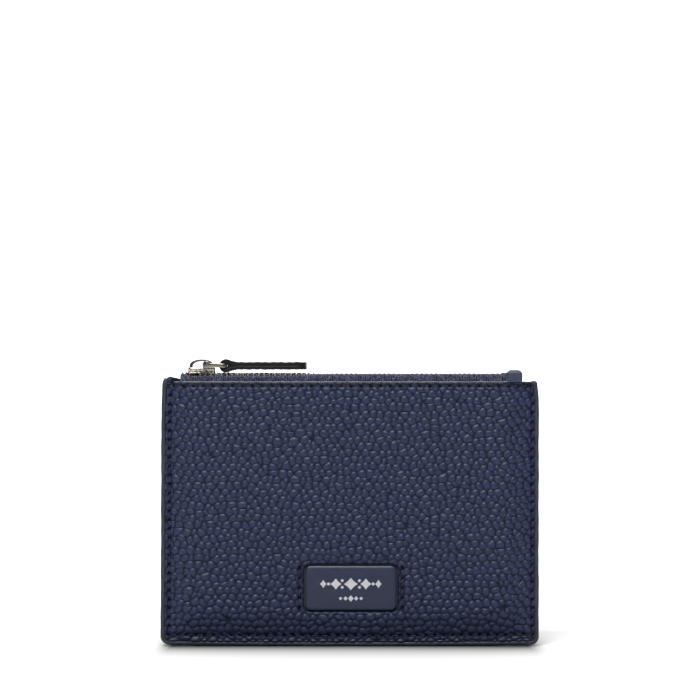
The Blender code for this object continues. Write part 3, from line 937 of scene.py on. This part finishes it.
def stitch(shell, start, stop, side):
    """One sewn stitch from hole to hole, lying in the groove and diving in at both ends."""
    span = stop - start
    length = np.hypot(*span)
    gap, lift = 0.60, 0.10
    shares = np.array([0.0, 0.07, 0.18, 0.5, 0.82, 0.93, 1.0])
    dive = np.array([-0.55, -0.12, 0.0, 0.05, 0.0, -0.12, -0.55])
    flat = start + ((gap + shares * (length - 2 * gap)) / length)[:, None] * span
    middle = start + span * np.array([[0.3], [0.7]])
    level = shell.bed(middle[:, 0], middle[:, 1]).mean()
    wx, wz = warp(flat[:, 0], flat[:, 1])
    path = np.stack([wx, side * (level + lift + dive), wz], 1)
    section = rounded_section(THREAD_RADIUS, THREAD_RADIUS * 0.85, THREAD_RADIUS * 0.8, 1)
    sections = [section * s for s in (0.8, 0.95, 1.0, 1.06, 1.0, 0.95, 0.8)]
    shell.add(*sweep(path, sections, np.array([-span[1], 0.0, span[0]]) / length))


def sew(name, rows, bed, side, material):
    """Stitches along rows of needle holes; bed gives the depth they lie on."""
    shell = Shell()
    shell.bed = bed
    for row in rows:
        for start, stop in zip(row[:-1], row[1:]):
            stitch(shell, start, stop, side)
    shell.mesh(name, material, slot="zip_tape")


def make_corner_threads(material):
    """At both top corners the side seam's thread is wrapped over the edge."""
    depth = SEAM_DEPTH + 0.12
    for name, x, top in (("left", -65.1, 95.15), ("right", 66.2, 95.3)):
        shell = Shell()
        for turn in (-1.5, -0.5, 0.5, 1.5):
            rise = top - TOP_ROW - 0.1 * abs(turn)
            path = [(-depth + 0.5, TOP_ROW - 0.3), (-depth, TOP_ROW)]
            for a in np.linspace(0.0, math.pi, 9):
                path.append((-depth * math.cos(a), TOP_ROW + 0.5 + (rise - 0.5) * math.sin(a) ** 0.6))
            y, z = np.array(path + [(depth, TOP_ROW), (depth - 0.5, TOP_ROW - 0.3)]).T
            wx, wz = warp(np.full(len(z), x + turn * 0.42), z)
            section = rounded_section(THREAD_RADIUS, THREAD_RADIUS, 0.2, 1)
            shell.add(*sweep(np.stack([wx, y, wz], 1), section, (1.0, 0.0, 0.0)))
        shell.mesh(name + "_corner_thread", material, slot="zip_tape")


# Zip

def tape_profile():
    """Closed outline of one tape across the zip: up from the seam, over, and in to its bead."""
    bend = 0.6
    top = TAPE_TOP - TAPE_HALF_THICK
    line = [(TAPE_OUT, z) for z in np.linspace(TAPE_LOW[2] - 0.5, top - bend, 6)]
    line += arc_points(TAPE_OUT - bend, top - bend, bend, 0, 90, 6)[1:]
    line += [(y, top) for y in np.linspace(TAPE_OUT - bend - 0.15, TAPE_BEAD, 5)]
    line = np.array(line)
    tangent = np.gradient(line, axis=0)
    tangent /= np.linalg.norm(tangent, axis=1)[:, None]
    normal = np.stack([tangent[:, 1], -tangent[:, 0]], 1)
    half = np.full(len(line), TAPE_HALF_THICK)
    half[-3:] = (0.26, 0.42, 0.34)
    return np.concatenate([line + normal * half[:, None], (line - normal * half[:, None])[::-1]])


def tape_run(name, side, start, stop, material):
    """A run of tape along x. Its fold is finely serrated, and its left end is cut round."""
    profile = tape_profile()
    high = smoothstep(profile[:, 1], TAPE_TOP - 1.2, TAPE_TOP)
    corner = 1.1
    rings = []
    for x in axis_lines(start, stop, 0.28):
        from_end = x - TAPE_LOW[0]
        lift = 0.13 * math.sin(2.0 * math.pi * x / TAPE_RIB)
        lift += (0.28 if side > 0 else -0.50) * float(smoothstep(-x, 10.0, 20.0))
        lift += 0.45 * float(smoothstep(x, 53.5, 56.5))
        lift += 0.65 * math.exp(-((from_end - 1.0) / corner) ** 2)
        z = profile[:, 1] + high * lift
        drop = corner - math.sqrt(max(0.0, corner ** 2 - max(0.0, corner - from_end) ** 2))
        limit = TAPE_TOP + 0.65 - drop * 0.9
        z = np.where(z > limit, limit + 0.1 * (z - limit), z)
        rings.append(np.stack([np.full(len(z), x), side * profile[:, 0], z], 1))
    points, faces = loft(rings, flip=side < 0)
    return add_mesh(name, points, faces, material, None, "zip_tape", crease=55)


def level_ring(section, x, y, z):
    """A section laid in the plane y = constant, round a centre."""
    return np.stack([x + section[:, 0], np.full(len(section), y), z + section[:, 1]], 1)


def tooth(shell, x, side):
    """One metal tooth: a clamp round the tape's bead and a narrower head past the middle."""
    back_drop = 0.20
    middle = TEETH_MIDDLE - (back_drop if side > 0 else 0.0)
    depth = (2.0, 1.88, 1.05, 0.80, 0.10, -0.32, -0.42)
    half_x = (0.24, 0.32, 0.34, 0.31, 0.29, 0.26, 0.20)
    half_z = (0.42, 0.58, 0.60, 0.54, 0.52, 0.46, 0.34)
    rings = []
    for y, hx, hz in zip(depth, half_x, half_z):
        rings.append(level_ring(rounded_section(hx, hz, 0.16, 1), x, side * y, middle))
    shell.add(*loft(rings, flip=side < 0))


def teeth_run(name, side, start, stop, material):
    """The teeth whose middle lies between start and stop; the back ones are half a pitch along."""
    shell = Shell()
    first = cad_box("front_teeth")[0][0] + 0.5 + (0.5 * TOOTH_PITCH if side > 0 else 0.0)
    last = cad_box("front_teeth_end")[1][0]
    for x in first + TOOTH_PITCH * np.arange(int((last - first) / TOOTH_PITCH) + 1):
        if start <= x < stop and x < last - 0.3:
            tooth(shell, x, side)
    return shell.mesh(name, material, None, "nickel", crease=40)


def make_zip(tape, metal):
    """Each side's zip in three runs: two, split at SPLIT, that are attached to no body, and one that stays
    on the pouch.
    """
    for label, side in (("front", FRONT), ("back", BACK)):
        moving_stop = cad_box(label + "_tape")[1][0] + 0.1
        end = cad_box(label + "_tape_end")[1][0] - 1.0
        for kind, make, material in (("tape", tape_run, tape), ("teeth", teeth_run, metal)):
            name = "%s_%s" % (label, kind)
            left = make(name + "_left", side, TAPE_LOW[0], SPLIT, material)
            right = make(name + "_right", side, SPLIT, moving_stop, material)
            fixed = make(name + "_fixed", side, moving_stop, end, material)
            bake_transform(left)
            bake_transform(right)
            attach(fixed, "pouch")
            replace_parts(left, name)
            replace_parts(fixed, name + "_end")
        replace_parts(tape_hem(label + "_hem_cloth", side, tape), label + "_tape_hem")


def tape_hem(name, side, material):
    """The sewn-in part of a tape, between the leather and the lining."""
    xs = axis_lines(TAPE_LOW[0], cad_box("front_tape_end")[1][0], 2.0)
    zs = axis_lines(cad_box("front_tape_hem")[0][2], BODY_TOP + 0.1, 2.3)
    gx, gz = np.meshgrid(xs, zs, indexing="ij")
    depth = 0.72 + 2.0 * fullness(gx, gz)
    outer = np.stack([gx, side * (depth + 0.3), gz], -1)
    inner = np.stack([gx, side * depth, gz], -1)
    points, faces = slab(outer, inner, side)
    return add_mesh(name, points, faces, material, "pouch", "zip_tape")


def rounded_block(shell, low, high, radius):
    """A closed block with all its edges rounded."""
    low, high = np.asarray(low, float), np.asarray(high, float)
    x, y, z = (low + high) / 2
    half_x, half_y, half_z = (high - low) / 2
    angles = np.radians(np.linspace(0, 90, 4))
    inset = radius * (1 - np.sin(angles))
    run = radius * (1 - np.cos(angles)) - half_y
    rings = []
    for depth, cut in zip([*run, *-run[::-1]], [*inset, *inset[::-1]]):
        cut = min(cut, 0.8 * min(half_x, half_z))
        section = rounded_section(half_x - cut, half_z - cut, radius, 2)
        rings.append(level_ring(section, x, y + depth, z))
    shell.add(*loft(rings, flip=True))


def make_stops(metal):
    for node in ("front_top_stop", "back_top_stop", "bottom_stop"):
        low, high = cad_box(node)
        shell = Shell()
        rounded_block(shell, low, high, 0.3)
        middle = (low[0] + high[0]) / 2
        rib_low = (middle - 0.2, low[1] + 0.1, high[2] - 0.2)
        rib_high = (middle + 0.2, high[1] - 0.1, high[2] + 0.08)
        rounded_block(shell, rib_low, rib_high, 0.1)
        shell.mesh(node + "_clamp", metal, slot="nickel", replaces=[node])


def two_materials(obj, second, axis, limit=0.6):
    """Faces that look along an axis take the second material, as painted cut edges do."""
    obj.data.materials.append(second)
    normals = np.zeros(len(obj.data.polygons) * 3)
    obj.data.polygons.foreach_get("normal", normals)
    facing = np.abs(normals.reshape(-1, 3)[:, axis]) > limit
    obj.data.polygons.foreach_set("material_index", facing.astype(np.int32))


def make_tab(leather, paint):
    """The smooth leather tab folded over the end of the zip."""
    out = TAB_HIGH[1] - 0.35
    top = TAB_HIGH[2] - 0.12
    bend = 0.9
    half = [(-out, z) for z in np.linspace(TAB_LOW[2] - 0.3, top - bend, 9)]
    half += arc_points(-out + bend, top - bend, bend, 180, 90, 7)[1:]
    half += [(y, top) for y in np.linspace(-out + bend + 0.4, -0.3, 4)]
    y, z = np.array(half + [(-y, z) for y, z in reversed(half)]).T
    width = (TAB_HIGH[0] - TAB_LOW[0]) / 2
    path = np.stack([np.full(len(y), (TAB_LOW[0] + TAB_HIGH[0]) / 2), y, z], 1)
    rounding = 1.25
    rise = np.clip((z - top + rounding) / rounding, 0.0, 1.0)
    tuck = rounding * (1.0 - np.sqrt(1.0 - 0.98 * rise ** 2))
    bulge = 0.12 * np.sin(math.pi * np.clip((z - TAB_LOW[2]) / (top - TAB_LOW[2]), 0.0, 1.0))
    sections = [rounded_section(width - t, 0.36, 0.3, 3) for t in tuck - bulge]
    points, faces = sweep(path, sections, (1.0, 0.0, 0.0))
    tab = add_mesh("end_tab_leather", points, faces, leather, slot="smooth_leather",
                   replaces=["zip_end_tab"])
    two_materials(tab, paint, 0)


# Slider and pull

def channel_ring(x, half, rim, roof, top, waist):
    """Section of the slider's upper shell: rounded above, walls with a waist, hollow below."""
    wall = 0.62
    outer = [(half - 0.12, rim), (half, rim + 0.14), (half, rim + 0.42), (half - waist, rim + 0.62),
             (half - waist, roof - 0.35), (half - 0.02, roof - 0.05), (half, roof + 0.25)]
    outer += arc_points(half - 0.5, top - 0.5, 0.5, 10, 90, 4)
    inner = [(half - wall, rim), (half - wall, roof - 0.35), (half - wall - 0.3, roof)]
    ring = outer + [(-y, z) for y, z in reversed(outer)]
    y, z = np.array(ring + [(-y, z) for y, z in inner] + inner[::-1]).T
    return np.stack([np.full(len(y), x), y, z], 1)


def slider_shell(shell, half, rim, roof, top, mirror=None):
    """A shell along the slider, wide at its mouth and narrower at its tail, with round ends.

    mirror turns it over: heights are then taken down from that one.
    """
    x0, x1 = SLIDER_LOW[0], SLIDER_HIGH[0]
    rings = []
    for share in (1 - np.cos(np.linspace(0, math.pi, 30))) / 2:
        x = x0 + (x1 - x0) * share
        end = min(x - x0, x1 - x)
        cut = 1.2 * (1 - math.sqrt(1 - (1 - min(1.0, end / 1.2)) ** 2))
        width = half * (1.0 - 0.17 * float(smoothstep(share, 0.35, 0.95))) - 0.9 * cut
        neck = math.exp(-((x - (x0 + 4.4)) / 0.75) ** 4)
        waist = 0.38 * (1.0 - neck) * min(1.0, end)
        rings.append(channel_ring(x, width, rim + 0.35 * cut, roof, top - 0.32 * cut, waist))
    points, faces = loft(rings, flip=mirror is not None)
    if mirror is not None:
        points[:, 2] = mirror - points[:, 2]
    shell.add(points, faces)


def make_slider(metal):
    """Upper and lower shells with a wedge-shaped post between them."""
    shell = Shell()
    roof = 99.4
    slider_shell(shell, SLIDER_HIGH[1], 97.95, roof, SLIDER_HIGH[2])
    low_top, low_rim = SLIDER_LOW[2], 96.70
    slider_shell(shell, 2.3, low_top, low_rim - 0.9, low_rim - 0.1, low_top + low_rim)
    x0 = SLIDER_LOW[0]
    post = [(x0 + 0.3, 0.0), (x0 + 0.7, -0.5), (x0 + 1.7, 0.0), (x0 + 0.7, 0.5)]
    heights = (low_top + 0.3, 96.4, 97.5, 98.8, roof + 0.4)
    shell.add(*loft([np.array([(x, y, z) for x, y in post]) for z in heights]))
    shell.mesh("slider_casting", metal, "slider", "nickel", ["slider_body"], crease=38)


def make_bridge(metal):
    """The bridge is a flat band bent into an arch and let into the slider's plate."""
    x0, x1 = BRIDGE_LOW[0], BRIDGE_HIGH[0]
    foot = SLIDER_HIGH[2] - 0.15
    middle, half = (x0 + x1) / 2, (x1 - x0) / 2 - 0.45
    rise = BRIDGE_HIGH[2] - 0.40 - foot
    angles = np.linspace(0.0, math.pi, 33)
    z = foot + rise * np.sin(angles) ** 0.72
    path = np.stack([middle - half * np.cos(angles), np.zeros(len(z)), z], 1)
    thick = 0.40 + 0.20 * np.abs(np.cos(angles)) ** 2
    sections = [rounded_section(BRIDGE_HIGH[1], t, 0.28, 3) for t in thick]
    points, faces = sweep(path, sections, (0.0, 1.0, 0.0))
    add_mesh("bridge_arch", points, faces, metal, "slider", "nickel", ["slider_bridge"], crease=60)


def grooved(section, half_v):
    """A rounded section with a narrow groove along the middle of both its flat sides."""
    deep = half_v - 0.15
    groove = np.array([(0.22, half_v), (0.15, deep), (-0.15, deep), (-0.22, half_v)])
    quarter = len(section) // 4
    first, middle, last = section[:quarter], section[quarter:-quarter], section[-quarter:]
    return np.concatenate([first, groove, middle, -groove, last])


def make_link(metal):
    """The link: a cast ring, deep at the slider and slim where it holds the leather."""
    reach, bend, spacing = 3.875, 1.1, 0.5
    left, right = LINK_PIVOT[0], PULL_PIVOT[0]
    corners = []
    for x, y, start in ((right, reach, 0), (left, reach, 90), (left, -reach, 180), (right, -reach, 270)):
        cx = x - math.copysign(bend, x - (left + right) / 2)
        cy = y - math.copysign(bend, y)
        corners += arc_points(cx, cy, bend, start, start + 90, 7)
    corners = np.array(corners)
    ring = []
    for a, b in zip(corners, np.roll(corners, -1, 0)):
        count = max(1, int(np.hypot(*(b - a)) / spacing))
        ring += [a + (b - a) * k / count for k in range(count)]
    x, y = np.array(ring).T
    z = LINK_PIVOT[2] + (PULL_PIVOT[2] - LINK_PIVOT[2]) * (x - left) / (right - left)
    cheek = smoothstep(np.abs(y), 2.7, 3.5)
    knob = np.sqrt(np.clip(1.35 ** 2 - (x - left - 1.05) ** 2, 0.0, None))
    height = 0.56 + (np.maximum(0.76, knob) - 0.56) * cheek
    width = 0.56 - 0.24 * cheek
    sections = [grooved(rounded_section(h, w, 0.28, 3), w) for h, w in zip(height, width)]
    points, faces = sweep(np.stack([x, y, z], 1), sections, (0.0, 0.0, 1.0), closed=True)
    add_mesh("link_ring", points, faces, metal, "link", "nickel", ["pull_link"], crease=60)


def smooth_line(points):
    """Chaikin corner cutting on an open line of points."""
    points = np.asarray(points, float)
    a, b = points[:-1], points[1:]
    cut = np.stack([0.75 * a + 0.25 * b, 0.25 * a + 0.75 * b], 1).reshape(-1, 2)
    return np.concatenate([points[:1], cut, points[-1:]])


def make_pull_core(paint, eye, high, tip, middle, half):
    """What fills the pull's fold: a bush round the link's bar and the glue between the layers."""
    shell = Shell()
    bush = [(x, 0.0, z) for x, z in arc_points(eye, high, 1.10, 0, 345, 24)]
    section = rounded_section(half - 0.3, 0.44, 0.12, 2)
    shell.add(*sweep(bush, section, (0.0, 1.0, 0.0), closed=True))
    xs = np.concatenate([np.linspace(eye + 0.9, eye + 5.0, 16), np.linspace(eye + 5.6, tip - 0.25, 40)])
    thick = 1.45 - 1.3 * smoothstep(xs, eye + 1.4, eye + 4.6)
    end = np.clip(tip - 0.2 - xs, 0.0, half)
    width = (half - 0.4) * np.sqrt(np.clip(1.0 - (1.0 - end / half) ** 2, 0.02, 1.0))
    path = np.stack([xs, np.zeros(len(xs)), np.full(len(xs), middle)], 1)
    sections = [rounded_section(w, t, 0.2, 2) for w, t in zip(width, thick)]
    shell.add(*sweep(path, sections, (0.0, 1.0, 0.0)))
    shell.mesh("pull_core", paint, "pull", "edge_paint")


def make_strap(leather, paint, thread_finish):
    """The pull: one strip of leather folded round the link's bar, glued and sewn to itself."""
    qx, qz = PULL_PIVOT[0], PULL_PIVOT[2]
    thick = 1.34
    bottom, top = 99.45 + thick / 2, 102.15 - thick / 2
    loop = qx - STRAP_LOW[0] - thick / 2
    tip = STRAP_HIGH[0]
    line = [(x, bottom) for x in np.linspace(tip, qx + 4.2, 60)]
    line += arc_points(qx, qz, loop, -48, -312, 26)
    line += [(x, top) for x in np.linspace(qx + 4.2, tip, 60)]
    x, z = smooth_line(line).T
    ripple = 0.03 * np.sin(x * 0.9) + 0.02 * np.sin(x * 2.3 + 1.0)
    path = np.stack([x, np.zeros(len(x)), z + ripple * smoothstep(x, qx + 3.0, qx + 6.0)], 1)
    half = STRAP_HIGH[1]
    end = np.clip(tip - x, 0.0, half)
    width = half * np.sqrt(np.clip(1.0 - (1.0 - end / half) ** 2, 0.0, 1.0)) + 0.05
    width = np.minimum(width, half) * (1.0 - 0.05 * (1.0 - smoothstep(x, qx, qx + 6.0)))
    sections = [rounded_section(w, thick / 2, 0.25, 3) for w in width]
    points, faces = sweep(path, sections, (0.0, 1.0, 0.0))
    make_pull_core(paint, qx, qz, tip, (bottom + top) / 2, half)
    strap = add_mesh("leather_pull", points, faces, leather, "pull", "pull_leather", ["pull_strap"])
    two_materials(strap, paint, 1, 0.5)
    shell = Shell()
    shares = np.array([0.1, 0.16, 0.3, 0.5, 0.7, 0.84, 0.9])
    rise = np.array([-0.40, -0.16, -0.04, 0.0, -0.04, -0.16, -0.40])
    holes = np.linspace(qx + 4.0, tip - 2.2, 9)
    for y in (-half + 1.0, half - 1.0):
        for a, b in zip(holes[:-1], holes[1:]):
            for face, out in ((top + thick / 2, 1), (bottom - thick / 2, -1)):
                px = a + (b - a) * shares
                path = np.stack([px, np.full(7, y), face + out * (rise - 0.08) + 0.03 * np.sin(px * 0.9)], 1)
                shell.add(*sweep(path, rounded_section(0.2, 0.18, 0.15, 1), (0.0, 1.0, 0.0)))
    shell.mesh("pull_stitches", thread_finish, "pull", "zip_tape")


# Card slots, the top one first

SLOTS = ("card_slot_top", "card_slot_middle", "card_slot_lower")
SLOT_ROW = cad_box("card_slot_top")[1][0] - 2.0


def slot_bed(level):
    """Depth of a slot's outer face as a function; the lowest slot bends down to the seam."""
    base = cad_box(SLOTS[level])[1][1]

    def bed(x, z):
        if level < 2:
            return np.full(np.shape(x), base - 0.05)
        low = SEAM_DEPTH + 0.95
        rise = (5.2 - low) * smoothstep(z, 2.0, 12.0)
        return low - 0.05 + rise + (base - 5.2) * smoothstep(z, 13.0, 20.5)
    return bed


def card_slot(level, material, thread_finish):
    """A grained leather panel with a rolled top edge and a creased line along it."""
    name = SLOTS[level]
    low, high = cad_box(name)
    px, pz = np.meshgrid(axis_lines(low[0], high[0], SLOT_STEP), axis_lines(low[2], high[2], SLOT_STEP),
                         indexing="ij")
    px, pz = round_corners(px, pz, high[0], high[2], 1.5)
    bottom = max(low[2] + 2.0, 4.0)
    rows = [row_points(s * SLOT_ROW, bottom, high[2] - 1.4, STITCH_PITCH, True) for s in (-1, 1)]
    if level == 2:
        rows.append(row_points(BOTTOM_ROW, -SLOT_ROW, SLOT_ROW, STITCH_PITCH, False))
    bed = slot_bed(level)
    relief = pebbles(px + 7.0 * level, pz + 90.0 * level, SLOT_SEED + level)
    line, hole = row_distance(px, pz, rows)
    mask = grain_fade(line)
    edge = np.minimum(np.minimum(px - low[0], high[0] - px), np.minimum(high[2] - pz, pz - low[2] + 1.0))
    crease = np.exp(-((high[2] - 1.9 - pz) / 0.28) ** 2)
    depth = bed(px, pz) + PEBBLE_RELIEF * 0.8 * (relief - 0.65) * mask
    depth -= roll_off(edge, 0.35) * 0.9 + 0.20 * np.exp(-(line / GROOVE_WIDTH) ** 2)
    depth -= 0.30 * np.exp(-(hole / 0.34) ** 2) + 0.10 * crease
    wx, wz = warp(px, pz)
    outer = np.stack([wx, depth, wz], -1)
    if level == 2:
        points, faces = slab(outer, np.stack([wx, bed(px, pz) - 0.62, wz], -1), BACK)
    else:
        quads = grid_quads(*px.shape)[..., [0, 3, 2, 1]].reshape(-1, 4)
        points, faces = skirt(outer.reshape(-1, 3), [tuple(q) for q in quads.tolist()], BACK, 0.6)
    panel = add_mesh(name + "_panel", points, faces, material, slot="grained_leather", replaces=[name])
    set_relief(panel, relief, mask, hole, 0.42)
    covered = 0.0 if level == 2 else cad_box(SLOTS[level + 1])[1][2]
    shown = [row[row[:, 1] > covered + 0.8] for row in rows]
    sew(name + "_stitches", [row for row in shown if len(row) > 1], bed, BACK, thread_finish)


def main():
    make_camera()
    make_stage()
    grain = grained_leather()
    smooth = smooth_leather("smooth_leather", srgb(22, 32, 60), srgb(19, 28, 53))
    tab_leather = smooth_leather("tab_leather", srgb(46, 55, 78), srgb(34, 40, 62), 0.5)
    pull_leather = smooth_leather("pull_leather", srgb(32, 30, 38), srgb(22, 20, 26), 0.45)
    paint = edge_paint("edge_paint", srgb(28, 30, 40), srgb(42, 44, 56))
    pull_paint = edge_paint("pull_edge_paint", srgb(12, 9, 13), srgb(22, 19, 24), 0.40, 0.3, 0.22)
    # Pale cut edge: partly the raw edge's own pale colour, partly a painted highlight where the top edge
    # catches the light.
    pale_edge_and_highlight = edge_paint("pale_edge_and_highlight", srgb(110, 107, 102), srgb(140, 137, 131), 0.6)
    tape = knitted_tape()
    slider_metal = nickel("polished_nickel", srgb(174, 169, 163), 0.21)
    # Painted shade: the bridge arch is the slider's nickel coloured darker, as it looks in shade.
    arch_metal = nickel("arch_nickel_painted_shade", srgb(100, 95, 90), 0.26)
    # Painted shade: the link is the same nickel coloured darker to tone down its highlights.
    link_metal = nickel("link_nickel_painted_shade", srgb(142, 137, 130), 0.24)
    # Painted light: the teeth and stops are the same nickel coloured lighter, so they read as bright dots.
    teeth_metal = nickel("zip_nickel_painted_light", srgb(208, 203, 192), 0.34)
    navy_thread = thread("navy_thread", srgb(34, 38, 78), srgb(15, 17, 42))
    pull_thread = thread("pull_thread", srgb(26, 24, 30), srgb(12, 11, 14))
    leather_panel("front_leather", FRONT, SEAM_ROWS + PATCH_ROWS, FRONT_SEED, grain, True)
    leather_panel("back_leather", BACK, SEAM_ROWS, BACK_SEED, grain)
    make_edge(paint)
    make_top_edges(pale_edge_and_highlight)
    make_patch(smooth)
    make_ornament()
    board = frame["nodes"]["emblem_backing"].data.materials
    board.clear()
    board.append(matt_board())
    lining = woven_lining()
    make_lining("front_lining", FRONT, lining)
    make_lining("back_lining", BACK, lining)
    make_zip(tape, teeth_metal)
    make_stops(teeth_metal)
    make_tab(tab_leather, paint)
    make_slider(slider_metal)
    make_bridge(arch_metal)
    make_link(link_metal)
    make_strap(pull_leather, pull_paint, pull_thread)
    for level in range(len(SLOTS)):
        card_slot(level, grain, navy_thread)
    sew("front_seam_stitches", SEAM_ROWS, stitch_bed, FRONT, navy_thread)
    sew("emblem_stitches", PATCH_ROWS, stitch_bed, FRONT, navy_thread)
    sew("back_seam_stitches", SEAM_ROWS, stitch_bed, BACK, navy_thread)
    make_corner_threads(navy_thread)


main()
